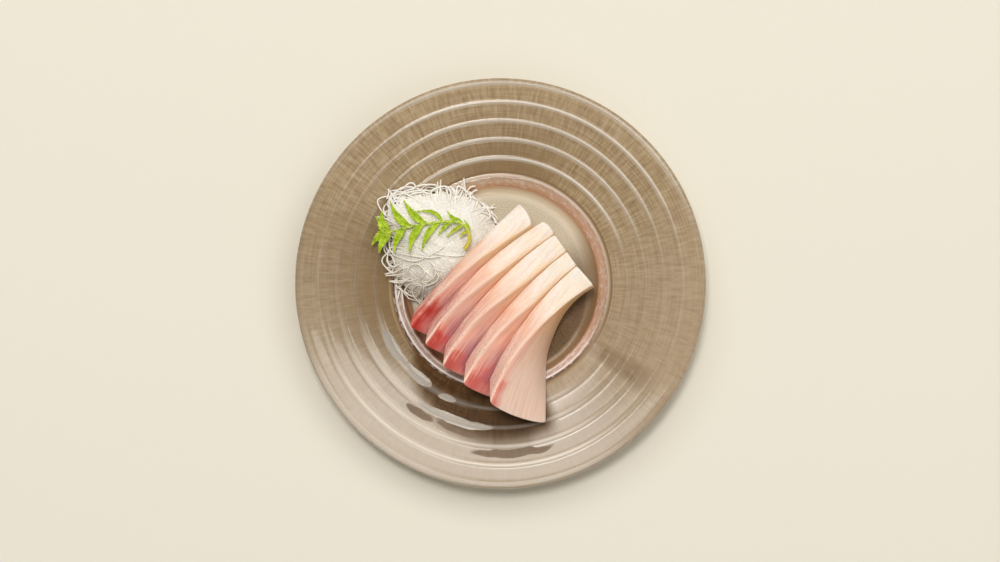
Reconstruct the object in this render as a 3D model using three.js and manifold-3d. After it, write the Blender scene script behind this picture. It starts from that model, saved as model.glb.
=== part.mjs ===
// A sashimi plate: a shallow dish of smoky glass with concentric ridges, five leaning slices of
// pale pink fish, a heap of shredded daikon radish behind them and a green leaf sprig on the heap.
// Millimetres, +Z up. The origin is at the middle of the dish, on the surface that it stands on.
import * as THREE from 'three';
import { mergeVertices } from 'three/addons/utils/BufferGeometryUtils.js';
import Module from 'manifold-3d';

const wasm = await Module();
wasm.setup();

// The dish: a flat well, a step over the foot ring, and a wide rim that rises to the edge.
const DISH_RADIUS = 105;
const WELL_RADIUS = 46.5;
const WELL_TOP = 6;
const WELL_THICKNESS = 3.6;
const STEP_RADIUS = 55;
const STEP_TOP = 8.2;
const RIM_SLOPE = 0.16;
const RIM_CURVE = 0.0024;
const RIM_THICKNESS = 4.4;
const EDGE_ROUNDING = 1.6;
const RIDGE_PITCH = 9.5;
const RIDGE_HEIGHT = 1;
const RIDGE_SHARPNESS = 3;
const RIDGE_STEPS = [0, 0.12, 0.5, 0.88];
const FOOT_INNER = 49.6;
const FOOT_OUTER = 54.4;
const FOOT_DRAFT = 0.8;
const DISH_SIDES = 60;

// Food rests this far above the crests of the dish, and pieces of food stay this far apart.
const REST_GAP = 0.35;
const REST_MARGIN = 6;
const PIECE_GAP = 0.42;

// The slices lie side by side like fallen books. Their length runs along one direction, and each
// layer of the stack has an upper edge, whose offset across that direction is given in millimetres
// at the toe, in the middle and at the head. The last layer closes the last slice. Each slice's
// head ends at two shares of the length, one for its back and one for its front. Its front edge is
// higher than its back edge, and part of that step is kept at the head.
const SLICE_COUNT = 5;
const STACK_TURN = THREE.MathUtils.degToRad(44);
const STACK_TOE = -49.8;
const STACK_LENGTH = 85.8;
const LAYERS_AT_TOE = [-20.5, -9, 4.5, 18.5, 35.5, 61.5];
const LAYERS_IN_MIDDLE = [-23, -13.3, -2, 10.6, 21.9, 34.2];
const LAYERS_AT_HEAD = [-22.8, -8.3, 0.8, 11.6, 20.4, 34.4];
const SLICE_TOE_ENDS = [0.01, 0, -0.012, 0.002, 0.04];
const SLICE_HEAD_ENDS = [[0.99, 0.953], [1.018, 1.012], [1.013, 0.995], [0.995, 0.978], [0.978, 0.968]];
const STEP_KEPT_AT_HEAD = [1, 0.3, 0.3, 0.3, 0.5];
const SLICE_WIDTH_AT_TOE = 31;
const SLICE_WIDTH_AT_HEAD = 25;
const LEAN_OF_TOP_EDGE = [37, 72];
const LEAN_OF_LOWER_EDGE = [16, 86];
const LEAN_CHANGE_OF_LAST = [-12, 9];
const TOE_CORNER_CUT = 0.155;
const TOE_SKIN_CUT = 0.05;
const SLICE_CELLS = [18, 2, 5];

// The heap of shreds: an uneven dome whose outline is measured from its own centre. Its far
// corner bulges over the rim of the dish.
const HEAP_CENTRE = new THREE.Vector2(-28.8, 18.8);
const HEAP_RADIUS = 29.6;
const HEAP_CORNER_TURN = THREE.MathUtils.degToRad(137);
const HEAP_CORNER = 6;
const HEAP_CORNER_SHARPNESS = 10;
const HEAP_TOP = 28;
const HEAP_UNEVENNESS = 0.07;
const HEAP_CELLS = [28, 7];
const HEAP_SHOULDER = [2.4, 0.7];
const SHRED_WIDTH = 1.3;
const SHRED_THICKNESS = 1;
const SHRED_SINK = 0.15;
const SHRED_STEPS = 7;
const SURFACE_SHREDS = 9;
const EDGE_LOOPS = 10;
const LOOSE_ENDS = 7;
const OPEN_SIDE_FROM = THREE.MathUtils.degToRad(22);
const OPEN_SIDE_TO = THREE.MathUtils.degToRad(262);

// The sprig: a curved stem on the heap, with narrow leaflets on both sides and a lobed end leaf.
const SPRIG_PEAK = new THREE.Vector2(-22, 18);
const SPRIG_TOP = 31.8;
const SPRIG_DROOP = 0.0076;
const STEM_ROUTE = [
  [-18.3, 17.2], [-16, 21.2], [-16, 25], [-17.6, 28.6], [-21, 31], [-26, 31.5],
  [-34, 30.9], [-45.6, 29], [-53.7, 26.8], [-58.5, 26.1],
];
const STEM_RADIUS = [1.2, 0.55];
const STEM_SIDES = 6;
const STEM_STEPS = 15;
const LEAF_THICKNESS = 0.7;
const LEAF_WAVE = 0.35;
const LEAF_CELLS = [6, 2];
// Each leaflet: where it starts on the sprig, its bend, its tip and its width.
const LEAFLETS = [
  [[-45.6, 29], [-53.4, 32], [-56.2, 41.6], 4],
  [[-38, 30.6], [-45.2, 34], [-49.4, 42.4], 3.9],
  [[-29.4, 31.4], [-32.6, 38.8], [-43.8, 36.4], 2],
  [[-22, 31.4], [-24.8, 33], [-27, 36.8], 2.2],
  [[-19.4, 30.4], [-20.4, 32.2], [-24.2, 34.2], 1.5],
  [[-16.2, 26.4], [-15.8, 29.4], [-18.6, 32.4], 1.5],
  [[-48.6, 28.6], [-53.2, 25], [-54.4, 15.8], 3.9],
  [[-39.4, 30.2], [-45.8, 25.4], [-46.4, 15.2], 4],
  [[-31.2, 31], [-38, 26.4], [-40, 16.8], 3.4],
  [[-25.4, 31.2], [-29, 28.8], [-31.6, 24.6], 2],
  [[-19, 29.8], [-23.8, 27.4], [-27.4, 23.4], 1.9],
  [[-16.4, 26.8], [-18.8, 26.2], [-20.8, 23.4], 1.6],
  [[-56.4, 26.4], [-62.4, 29.4], [-60.4, 36.8], 5.2],
  [[-59, 28.4], [-61.8, 30.8], [-63.8, 34.4], 2.6],
  [[-56.6, 26.4], [-62.2, 26], [-65.8, 19.8], 4.6],
  [[-56.4, 26.4], [-60.8, 23], [-62, 15.6], 4.6],
];

const GLASS = { color: '#8f7c62', roughness: 0.1, metalness: 0 };
const FISH = { color: '#ecc3ac', roughness: 0.4, metalness: 0 };
const DAIKON = { color: '#efe8da', roughness: 0.35, metalness: 0 };
const LEAF = { color: '#8fb82e', roughness: 0.45, metalness: 0 };

const { clamp, degToRad, lerp, smoothstep } = THREE.MathUtils;

// Height of the dish's upper surface at a radius, with or without the dips between the crests.
function rimBase(radius) {
  const out = radius - STEP_RADIUS;
  return STEP_TOP + RIM_SLOPE * out + RIM_CURVE * out * out;
}

function ridge(radius) {
  const swing = Math.abs(Math.sin((Math.PI * (radius - STEP_RADIUS)) / RIDGE_PITCH));
  return RIDGE_HEIGHT * (1 - swing) ** RIDGE_SHARPNESS;
}

function restHeight(x, y) {
  const radius = Math.hypot(x, y);
  const crestLine = rimBase(Math.max(radius, STEP_RADIUS)) + RIDGE_HEIGHT;
  const surface = lerp(WELL_TOP, crestLine, smoothstep(radius, WELL_RADIUS - REST_MARGIN, STEP_RADIUS));
  return surface + REST_GAP;
}

// The dish's half section, from the axis out over the top, round the edge and back underneath.
function dishProfile() {
  const points = [[0, WELL_TOP], [WELL_RADIUS, WELL_TOP]];
  const climb = STEP_TOP + RIDGE_HEIGHT - WELL_TOP;
  for (const share of [0.35, 0.7]) {
    const radius = lerp(WELL_RADIUS, STEP_RADIUS, share);
    points.push([radius, WELL_TOP + climb * smoothstep(share, 0, 1)]);
  }
  const lastPitch = Math.floor((DISH_RADIUS - STEP_RADIUS) / RIDGE_PITCH);
  for (let pitch = 0; pitch <= lastPitch; pitch += 1) {
    for (const share of RIDGE_STEPS) {
      const radius = STEP_RADIUS + (pitch + share) * RIDGE_PITCH;
      if (radius < DISH_RADIUS - EDGE_ROUNDING) points.push([radius, rimBase(radius) + ridge(radius)]);
    }
  }
  const edgeTop = rimBase(DISH_RADIUS);
  points.push([DISH_RADIUS - EDGE_ROUNDING, edgeTop]);
  points.push([DISH_RADIUS, edgeTop - EDGE_ROUNDING]);
  points.push([DISH_RADIUS - EDGE_ROUNDING / 2, edgeTop - RIM_THICKNESS + EDGE_ROUNDING / 2]);
  for (const radius of [98, 86, 72]) points.push([radius, rimBase(radius) - RIM_THICKNESS]);
  const footRoot = rimBase(FOOT_OUTER + FOOT_DRAFT * 2) - RIM_THICKNESS;
  points.push([FOOT_OUTER + FOOT_DRAFT * 2, footRoot]);
  points.push([FOOT_OUTER, 0]);
  points.push([FOOT_INNER, 0]);
  points.push([FOOT_INNER - FOOT_DRAFT, WELL_TOP - WELL_THICKNESS]);
  points.push([0, WELL_TOP - WELL_THICKNESS]);
  return points.map(([radius, height]) => new THREE.Vector2(radius, height));
}

// A lathe turns its profile about +Y, so the dish is stood up on +Z afterwards.
function dishGeometry() {
  const outline = dishProfile().reverse();
  return new THREE.LatheGeometry(outline, DISH_SIDES).rotateX(Math.PI / 2);
}

// Moves every corner of a unit box, given by its three shares from 0 to 1, to a place in space.
function mappedBox([cellsX, cellsY, cellsZ], place) {
  const geometry = bare(new THREE.BoxGeometry(1, 1, 1, cellsX, cellsY, cellsZ));
  const corners = geometry.attributes.position;
  for (let index = 0; index < corners.count; index += 1) {
    const shares = [corners.getX(index), corners.getY(index), corners.getZ(index)];
    const point = place(...shares.map((share) => share + 0.5));
    corners.setXYZ(index, point.x, point.y, point.z);
  }
  return geometry;
}

// Keeps the corners and triangles alone and joins the corners that coincide.
function bare(geometry) {
  geometry.deleteAttribute('normal');
  geometry.deleteAttribute('uv');
  return mergeVertices(geometry, 1e-4);
}

function toSolid(geometry) {
  const vertProperties = new Float32Array(geometry.attributes.position.array);
  const triVerts = new Uint32Array(geometry.index.array);
  return new wasm.Manifold(new wasm.Mesh({ numProp: 3, vertProperties, triVerts }));
}

// The largest connected body of a solid, without loose scraps.
function toGeometry(solid) {
  const bodies = solid.decompose().sort((one, other) => other.volume() - one.volume());
  const mesh = bodies[0].getMesh();
  const geometry = new THREE.BufferGeometry();
  geometry.setAttribute('position', new THREE.BufferAttribute(mesh.vertProperties, mesh.numProp));
  geometry.setIndex(new THREE.BufferAttribute(mesh.triVerts, 1));
  return geometry;
}

// Offset of a layer's upper edge across the stack, by a curve through its three given places.
function layerOffset(layer, along) {
  const low = clamp(Math.floor(layer), 0, LAYERS_AT_TOE.length - 2);
  const between = (offsets) => lerp(offsets[low], offsets[low + 1], layer - low);
  const toe = between(LAYERS_AT_TOE) * (1 - along) * (1 - 2 * along);
  const middle = between(LAYERS_IN_MIDDLE) * 4 * along * (1 - along);
  const head = between(LAYERS_AT_HEAD) * along * (2 * along - 1);
  return toe + middle + head;
}

function sliceWidth(along) {
  return lerp(SLICE_WIDTH_AT_TOE, SLICE_WIDTH_AT_HEAD, smoothstep(along, 0, 0.5));
}

// Lean from the horizontal at a slice's lower edge and at its upper edge.
function leans(layer, along) {
  const share = (layer / SLICE_COUNT) ** 3;
  const change = share * lerp(...LEAN_CHANGE_OF_LAST, smoothstep(along, -0.15, 0.95));
  const lower = lerp(...LEAN_OF_LOWER_EDGE, smoothstep(along, 0.02, 0.52)) + change;
  const upper = lerp(...LEAN_OF_TOP_EDGE, smoothstep(along, 0.15, 0.95)) + change;
  return [degToRad(lower), degToRad(upper)];
}

// Reach and rise of a slice's bent face from its lower edge up to a distance over the face.
function bentReach(layer, along, distance) {
  const [lower, upper] = leans(layer, along);
  const width = sliceWidth(along);
  const bend = (upper - lower) / width || 1e-6;
  const bent = clamp(distance, 0, width);
  const turned = lower + bend * bent;
  const reach = (Math.sin(turned) - Math.sin(lower)) / bend;
  const rise = (Math.cos(lower) - Math.cos(turned)) / bend;
  const straight = distance - bent;
  return [reach + straight * Math.cos(turned), rise + straight * Math.sin(turned)];
}

// A point of the stack by its layer, its share of the length and its distance up the leaning face.
function stackPoint(layer, along, distance) {
  const [fullReach] = bentReach(layer, along, sliceWidth(along));
  const [reach, rise] = bentReach(layer, along, distance);
  const forward = STACK_TOE + STACK_LENGTH * along;
  const foot = layerOffset(layer, along) + fullReach;
  const place = (across) => [
    forward * Math.cos(STACK_TURN) + across * Math.sin(STACK_TURN),
    forward * Math.sin(STACK_TURN) - across * Math.cos(STACK_TURN),
  ];
  return new THREE.Vector3(...place(foot - reach), restHeight(...place(foot)) + rise);
}

// One slice: a slab between two layers, with a slanted toe and its lower edge near the dish.
function slicePoint(number, length, thickness, height) {
  const toe = SLICE_TOE_ENDS[number] + TOE_SKIN_CUT * (1 - thickness)
    + TOE_CORNER_CUT * (1 - height) ** 1.4;
  const along = lerp(toe, lerp(...SLICE_HEAD_ENDS[number], thickness), length);
  const pitch = layerOffset(number + 1, along) - layerOffset(number, along);
  const [lower, upper] = leans(number, along);
  const gap = PIECE_GAP / (pitch * Math.sin(upper));
  const step = lerp(1, STEP_KEPT_AT_HEAD[number], smoothstep(along, 0.45, 0.95));
  const top = sliceWidth(along) + step * thickness * pitch * Math.cos(upper);
  const bottom = 0.3 * thickness * pitch * Math.cos(lower);
  return stackPoint(number + thickness * (1 - gap), along, lerp(bottom, top, height));
}

function sliceGeometry(number) {
  return mappedBox(SLICE_CELLS, (x, y, z) => slicePoint(number, x, 1 - y, z));
}

// The room behind and under the first slice that the heap has to leave free.
function sliceRoom() {
  const gap = PIECE_GAP / 8;
  const reach = (height, along) => lerp(-12, sliceWidth(along) + 30, height);
  return toSolid(mappedBox([18, 2, 8], (x, y, z) => {
    const along = lerp(-0.3, 1.3, x);
    return stackPoint(lerp(2.5, -gap, y), along, reach(z, along));
  }));
}

// Seeded draws between 0 and 1, the same on every run.
function seededDraws(seed) {
  let state = seed;
  return () => {
    state = (Math.imul(state, 1664525) + 1013904223) >>> 0;
    return state / 4294967296;
  };
}

function heapOutline(turn) {
  const waves = Math.sin(3 * turn + 0.6) + 0.7 * Math.sin(5 * turn + 2) + 0.5 * Math.sin(8 * turn);
  const corner = Math.max(Math.cos(turn - HEAP_CORNER_TURN), 0) ** HEAP_CORNER_SHARPNESS;
  return HEAP_RADIUS * (1 + HEAP_UNEVENNESS * 0.5 * waves) + HEAP_CORNER * corner;
}

// A place on the heap's skin, by the share of the way from its centre to its outline.
function heapSkin(turn, share, lift = 0) {
  const radius = heapOutline(turn) * share;
  const x = HEAP_CENTRE.x + radius * Math.cos(turn);
  const y = HEAP_CENTRE.y + radius * Math.sin(turn);
  const rest = restHeight(x, y);
  const [spread, roundness] = HEAP_SHOULDER;
  const fullness = Math.max(1 - share ** spread, 0) ** roundness;
  const lumps = 0.5 * Math.sin(5 * turn + 9 * share) * share * (1 - share) * 4;
  return new THREE.Vector3(x, y, lerp(rest, HEAP_TOP, fullness) + lumps + lift);
}

// The heap's core: a ball whose upper half is drawn to the skin and lower half to the dish.
function heapCore() {
  const [sides, rows] = HEAP_CELLS;
  const geometry = bare(new THREE.SphereGeometry(1, sides, rows * 2).rotateX(Math.PI / 2));
  const corners = geometry.attributes.position;
  for (let index = 0; index < corners.count; index += 1) {
    const corner = new THREE.Vector3().fromBufferAttribute(corners, index);
    const flat = Math.hypot(corner.x, corner.y);
    const turn = Math.atan2(corner.y, corner.x);
    const share = 0.94 * (1 - (1 - Math.min(flat, 1)) ** 1.2);
    const skin = heapSkin(turn, share);
    const floor = restHeight(skin.x, skin.y);
    const edge = floor + 1.2;
    const z = corner.z > 1e-3 ? Math.max(skin.z, edge) : corner.z < -1e-3 ? floor : (edge + floor) / 2;
    corners.setXYZ(index, skin.x, skin.y, z);
  }
  return toSolid(geometry);
}

// A strip of four-sided section along a route; its side turns keep it flat on what it lies on.
function shred(route) {
  const curve = new THREE.CatmullRomCurve3(route);
  return toSolid(mappedBox([SHRED_STEPS, 1, 1], (x, y, z) => {
    const middle = curve.getPoint(x);
    const ahead = curve.getTangent(x);
    const aside = new THREE.Vector3(-ahead.y, ahead.x, 0).normalize();
    const above = ahead.clone().cross(aside);
    return middle.addScaledVector(aside, (y - 0.5) * SHRED_WIDTH)
      .addScaledVector(above, (z - 0.5) * SHRED_THICKNESS);
  }));
}

function surfaceShred(draw) {
  const turn = draw() * Math.PI * 2;
  const sweep = lerp(0.8, 1.7, draw());
  const inner = lerp(0.25, 0.6, draw());
  const route = [0, 1, 2, 3, 4].map((step) => {
    const share = step / 4;
    const out = inner + (0.88 - inner) * Math.abs(2 * share - 0.9) ** 1.3;
    return heapSkin(turn + sweep * (share - 0.5), out, SHRED_SINK);
  });
  return shred(route);
}

function openTurn(share) {
  return lerp(OPEN_SIDE_FROM, OPEN_SIDE_TO, share);
}

// Stays over the dish and under the given height, out to where a shred may reach.
function overDish(turn, share, height) {
  const skin = heapSkin(turn, share);
  return new THREE.Vector3(skin.x, skin.y, restHeight(skin.x, skin.y) + height);
}

function edgeLoop(number, draw) {
  const turn = openTurn((number + 0.2 + 0.6 * draw()) / EDGE_LOOPS);
  const half = lerp(0.12, 0.28, draw());
  const out = lerp(1.03, 1.12, draw());
  const height = lerp(1, 4, draw());
  return shred([
    heapSkin(turn - half * 0.6, 0.72, -1.5),
    overDish(turn - half, 0.97, height + 2),
    overDish(turn, out, height),
    overDish(turn + half, 0.98, height + 1),
    heapSkin(turn + half * 0.7, 0.7, -1.5),
  ]);
}

function looseEnd(number, draw) {
  const turn = openTurn((number + draw()) / LOOSE_ENDS);
  const lean = lerp(-0.25, 0.25, draw());
  return shred([
    heapSkin(turn, 0.6, -1.5),
    heapSkin(turn + lean * 0.3, 0.84, 0.4),
    overDish(turn + lean * 0.7, 1, lerp(2.4, 5, draw())),
    overDish(turn + lean, lerp(1.08, 1.16, draw()), lerp(1.2, 4, draw())),
  ]);
}

function heapGeometry() {
  const draw = seededDraws(7);
  let heap = heapCore();
  for (let number = 0; number < SURFACE_SHREDS; number += 1) heap = heap.add(surfaceShred(draw));
  for (let number = 0; number < EDGE_LOOPS; number += 1) heap = heap.add(edgeLoop(number, draw));
  for (let number = 0; number < LOOSE_ENDS; number += 1) heap = heap.add(looseEnd(number, draw));
  return toGeometry(heap.subtract(sliceRoom()));
}

// The sprig lies along the top of the heap and droops away from its highest place.
function onSprig(x, y, lift = 0) {
  const away = Math.hypot(x - SPRIG_PEAK.x, y - SPRIG_PEAK.y);
  return new THREE.Vector3(x, y, SPRIG_TOP - SPRIG_DROOP * away * away + lift);
}

function stem() {
  const curve = new THREE.CatmullRomCurve3(STEM_ROUTE.map(([x, y]) => onSprig(x, y)));
  const tube = bare(new THREE.CylinderGeometry(1, 1, 1, STEM_SIDES, STEM_STEPS));
  const corners = tube.attributes.position;
  for (let index = 0; index < corners.count; index += 1) {
    const share = corners.getY(index) + 0.5;
    const ahead = curve.getTangent(share);
    const aside = new THREE.Vector3(-ahead.y, ahead.x, 0).normalize();
    const above = ahead.clone().cross(aside);
    const radius = lerp(...STEM_RADIUS, share);
    const point = curve.getPoint(share)
      .addScaledVector(aside, corners.getX(index) * radius)
      .addScaledVector(above, -corners.getZ(index) * radius * 0.8);
    corners.setXYZ(index, point.x, point.y, point.z);
  }
  return toSolid(tube);
}

// A closed thin sheet over a grid, whose two faces are split along the same diagonals.
function sheet([cellsLong, cellsWide], place) {
  const corners = [];
  for (const side of [0, 1]) {
    for (let i = 0; i <= cellsLong; i += 1) {
      for (let j = 0; j <= cellsWide; j += 1) corners.push(...place(i / cellsLong, j / cellsWide, side));
    }
  }
  const at = (side, i, j) => (side * (cellsLong + 1) + i) * (cellsWide + 1) + j;
  const triangles = [];
  const quad = (a, b, c, d) => triangles.push(a, b, c, a, c, d);
  for (let i = 0; i < cellsLong; i += 1) {
    for (let j = 0; j < cellsWide; j += 1) {
      quad(at(1, i, j), at(1, i + 1, j), at(1, i + 1, j + 1), at(1, i, j + 1));
      triangles.push(at(0, i, j), at(0, i + 1, j + 1), at(0, i + 1, j));
      triangles.push(at(0, i, j), at(0, i, j + 1), at(0, i + 1, j + 1));
    }
    quad(at(0, i, 0), at(0, i + 1, 0), at(1, i + 1, 0), at(1, i, 0));
    quad(at(1, i, cellsWide), at(1, i + 1, cellsWide), at(0, i + 1, cellsWide), at(0, i, cellsWide));
  }
  for (let j = 0; j < cellsWide; j += 1) {
    quad(at(1, 0, j), at(1, 0, j + 1), at(0, 0, j + 1), at(0, 0, j));
    quad(at(0, cellsLong, j), at(0, cellsLong, j + 1), at(1, cellsLong, j + 1), at(1, cellsLong, j));
  }
  const geometry = new THREE.BufferGeometry();
  geometry.setAttribute('position', new THREE.Float32BufferAttribute(corners, 3));
  geometry.setIndex(triangles);
  return geometry;
}

// Half of a leaflet's width at a share of its length: broad over the stem, pointed at the tip.
function leafHalfWidth(long, width) {
  const body = lerp(0.5, 1, smoothstep(long, 0, 0.35));
  return width / 2 * body * lerp(1, 0.14, smoothstep(long, 0.4, 1.05));
}

// A leaflet is creased along its midrib and waves along its length.
function leaflet([start, bend, tip, width]) {
  const points = [start, bend, tip].map(([x, y]) => onSprig(x, y));
  const curve = new THREE.QuadraticBezierCurve3(...points);
  return toSolid(sheet(LEAF_CELLS, (long, wide, side) => {
    const middle = curve.getPoint(long);
    const ahead = curve.getTangent(long);
    const aside = new THREE.Vector3(-ahead.y, ahead.x, 0).normalize();
    const half = leafHalfWidth(long, width);
    const spread = 2 * wide - 1;
    const wave = LEAF_WAVE * Math.sin(long * 7 + width * 3) + 0.3 * Math.abs(spread);
    const point = middle.addScaledVector(aside, spread * half);
    return [point.x, point.y, point.z + wave + side * LEAF_THICKNESS];
  }));
}

function sprigGeometry() {
  return toGeometry(LEAFLETS.reduce((sprig, row) => sprig.add(leaflet(row)), stem()));
}

const plate = new THREE.Group();

function addPiece(name, geometry, finish) {
  const piece = new THREE.Mesh(geometry, new THREE.MeshStandardMaterial(finish));
  piece.name = name;
  plate.add(piece);
}

addPiece('dish', dishGeometry(), GLASS);
for (let number = 0; number < SLICE_COUNT; number += 1) {
  addPiece(`fish_slice_${number + 1}`, sliceGeometry(number), FISH);
}
addPiece('daikon_heap', heapGeometry(), DAIKON);
addPiece('leaf_sprig', sprigGeometry(), LEAF);

export default plate;
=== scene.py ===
# %% [markdown]
# # A sashimi plate
# A shallow dish of smoky glass holds five leaning slices of pale raw fish, a heap of shredded
# daikon radish and a sprig of young leaves. This file dresses a finished CAD model, piece by piece:
# every CAD solid is replaced by a finer piece of the same form, or gets a material of its own.
# The first cell loads the CAD model as a fixed frame.

# %% Load the frame
import math
import random

import bpy
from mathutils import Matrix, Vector


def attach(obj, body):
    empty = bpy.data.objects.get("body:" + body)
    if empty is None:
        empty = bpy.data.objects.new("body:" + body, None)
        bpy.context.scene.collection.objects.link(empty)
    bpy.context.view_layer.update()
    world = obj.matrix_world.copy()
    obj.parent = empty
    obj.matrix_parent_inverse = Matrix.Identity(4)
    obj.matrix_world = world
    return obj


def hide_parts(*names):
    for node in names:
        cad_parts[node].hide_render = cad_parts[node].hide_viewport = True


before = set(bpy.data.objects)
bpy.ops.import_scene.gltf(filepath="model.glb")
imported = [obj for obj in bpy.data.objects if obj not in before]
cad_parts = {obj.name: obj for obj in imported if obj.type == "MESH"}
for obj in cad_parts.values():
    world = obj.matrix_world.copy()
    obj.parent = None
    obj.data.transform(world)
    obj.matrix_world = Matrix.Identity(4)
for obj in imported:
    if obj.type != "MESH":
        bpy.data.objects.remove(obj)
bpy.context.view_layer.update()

MM = 0.001

# %% [markdown]
# ## Small helpers
# Colours are picked as sRGB hex values, the way a screen shows them, but shaders work in linear
# light, so one function turns them round. A material is a graph of nodes, and one small function
# adds a node to it with its settings and its links. That keeps each material short enough to read.

# %% Colour and node helpers
def linear(hex_code):
    """An sRGB colour such as "#8f7c62" as linear red, green and blue, with a full alpha."""
    channels = [int(hex_code[start:start + 2], 16) / 255 for start in (1, 3, 5)]
    curved = [c / 12.92 if c <= 0.04045 else ((c + 0.055) / 1.055) ** 2.4 for c in channels]
    return (*curved, 1.0)


def add_node(kind, *values, inputs=None, stops=None, out=None, **settings):
    """Add a node to `tree`, the graph of the material in hand, and return one of its outputs.

    The values go to the inputs that are in use, in their order, and `inputs` names others. Each
    is a plain value, or another node's output, which is linked. Stops are a ramp's colours.
    """
    node = tree.nodes.new("ShaderNode" + kind)
    for name, value in settings.items():
        setattr(node, name, value)
    in_order = zip([socket for socket in node.inputs if socket.enabled], values)
    by_name = [(node.inputs[name], value) for name, value in (inputs or {}).items()]
    for socket, value in [*in_order, *by_name]:
        if isinstance(value, bpy.types.NodeSocket):
            tree.links.new(value, socket)
        else:
            socket.default_value = value
    if stops:
        points = node.color_ramp.elements
        points.remove(points[1])
        for number, (position, colour) in enumerate(stops.items()):
            point = points.new(position) if number else points[0]
            point.position = position
            point.color = linear(colour)
    outputs = {socket.name: socket for socket in node.outputs if socket.enabled}
    return outputs[out] if out else next(iter(outputs.values()), None)


def new_material(name):
    """An empty material and its graph."""
    material = bpy.data.materials.new(name)
    material.use_nodes = True
    material.node_tree.nodes.clear()
    return material, material.node_tree


def finish_material(material, pieces, inputs):
    """Add the surface with what drives its sockets, and give the material to its pieces."""
    add_node("OutputMaterial", add_node("BsdfPrincipled", inputs=inputs))
    for piece in pieces:
        piece.data.materials.clear()
        piece.data.materials.append(material)


print("smoky brown in linear light:", [round(c, 3) for c in linear("#8f7c62")])

# %% [markdown]
# ## Camera, floor and light
# The dish is seen straight from above, as on a copying stand. A wide soft box hangs level beyond
# the far edge. Every part of the near rim that tilts away from us mirrors it, so the lower half of
# the dish shines. A small key light nearly overhead throws the short shadow on the table, and a
# large weak light from the near right opens the cut faces of the fish. Of the three, only the box
# shows in the glass: the others are hidden from glossy rays, as a polarising filter would do it.

# %% Camera
LENS_HEIGHT = 1.6
LENS_MM = 111.3
VIEW_CENTRE = Vector((-0.25 * MM, 1.3 * MM, 0))

camera_data = bpy.data.cameras.new("camera")
camera_data.lens = LENS_MM
camera_data.sensor_width = 36
camera = bpy.data.objects.new("camera", camera_data)
camera.location = VIEW_CENTRE + Vector((0, 0, LENS_HEIGHT))
bpy.context.scene.collection.objects.link(camera)
bpy.context.scene.camera = camera
print("camera", round(LENS_HEIGHT, 2), "m above the table, lens", LENS_MM, "mm")

# %% Floor
FLOOR_SIZE = 6.0
FLOOR_DROP = 0.3 * MM


def select_only(piece=None):
    """Make one object, or none, the selected and active one."""
    bpy.ops.object.select_all(action="DESELECT")
    if piece:
        piece.select_set(True)
    bpy.context.view_layer.objects.active = piece


select_only()
bpy.ops.mesh.primitive_plane_add(size=FLOOR_SIZE, location=(0, 0, -FLOOR_DROP))
floor = bpy.context.object
floor.name = "floor"
paper, tree = new_material("pale matt paper")
finish_material(paper, [floor], {
    "Base Color": linear("#e4dfd0"), "Roughness": 0.9, "Specular IOR Level": 0.1})
print("floor", FLOOR_SIZE, "m wide")

# %% Lights
# Name, shows in the glass, place and size in metres, turn in degrees, watts and colour.
LIGHTS = (
    ("soft_box", True, (0.1, 2.0, 3.0), (5.0, 2.1), -11, 84.0, (1.0, 0.985, 0.96)),
    ("key_light", False, (-0.25, 0.7, 3.2), (0.6, 0.6), 0, 50.0, (1.0, 0.98, 0.95)),
    ("fill_light", False, (1.5, -1.5, 2.6), (3.0, 3.0), 0, 20.0, (1.0, 0.98, 0.95)))
WORLD_STRENGTH = 0.19

scene = bpy.context.scene
world = bpy.data.worlds.new("pale room")
world.use_nodes = True
world.node_tree.nodes["Background"].inputs["Color"].default_value = linear("#fbf8f2")
world.node_tree.nodes["Background"].inputs["Strength"].default_value = WORLD_STRENGTH
scene.world = world


def area_light(name, mirrored, place, size, turn, watts, white):
    """A rectangle of light that shines straight down, turned about its own middle by degrees."""
    data = bpy.data.lights.new(name, "AREA")
    data.shape = "RECTANGLE"
    data.size, data.size_y = size
    data.energy = watts
    data.color = white
    light = bpy.data.objects.new(name, data)
    light.location = place
    light.rotation_euler = (0, 0, math.radians(turn))
    light.visible_glossy = mirrored
    scene.collection.objects.link(light)


for row in LIGHTS:
    area_light(*row)

scene.view_settings.view_transform = "Standard"
scene.view_settings.look = "None"
scene.cycles.use_denoising = True
print(len(LIGHTS), "lights, world", WORLD_STRENGTH)

# %% [markdown]
# ## The dish
# The real dish is pressed from smoky glass: a flat frosted well, a step over the foot ring, and a
# wide rim whose narrow crests and round flutes run in rings. A lathe shape like this is its half
# section spun about the axis. The section is written as a formula, so the rings stay even, and a
# fine step keeps them round where light runs along them.

# %% Named sizes of the dish, in millimetres
DISH_RADIUS = 105
WELL_RADIUS = 46.5
WELL_TOP = 6
WELL_THICKNESS = 3.6
STEP_RADIUS = 55
STEP_TOP = 8.2
RIM_SLOPE = 0.16
RIM_CURVE = 0.0024
RIM_THICKNESS = 4.4
EDGE_ROUNDING = 1.6
RIDGE_PITCH = 9.5
RIDGE_HEIGHT = 1
RIDGE_SHARPNESS = 3
FOOT_INNER = 49.6
FOOT_OUTER = 54.4
FOOT_DRAFT = 0.8
REST_GAP = 0.35
REST_MARGIN = 6

print("dish", 2 * DISH_RADIUS, "mm across, well", 2 * WELL_RADIUS, "mm")

# %% Heights of the rim
def smooth(value, low, high):
    """A soft step from 0 at low to 1 at high."""
    share = min(max((value - low) / (high - low), 0), 1)
    return share * share * (3 - 2 * share)


def mix(low, high, share):
    """The value at a share of the way from low to high."""
    return low + (high - low) * share


def rim_base(radius):
    """Height of the rim's lowest line, without its ridges."""
    out = radius - STEP_RADIUS
    return STEP_TOP + RIM_SLOPE * out + RIM_CURVE * out * out


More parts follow.
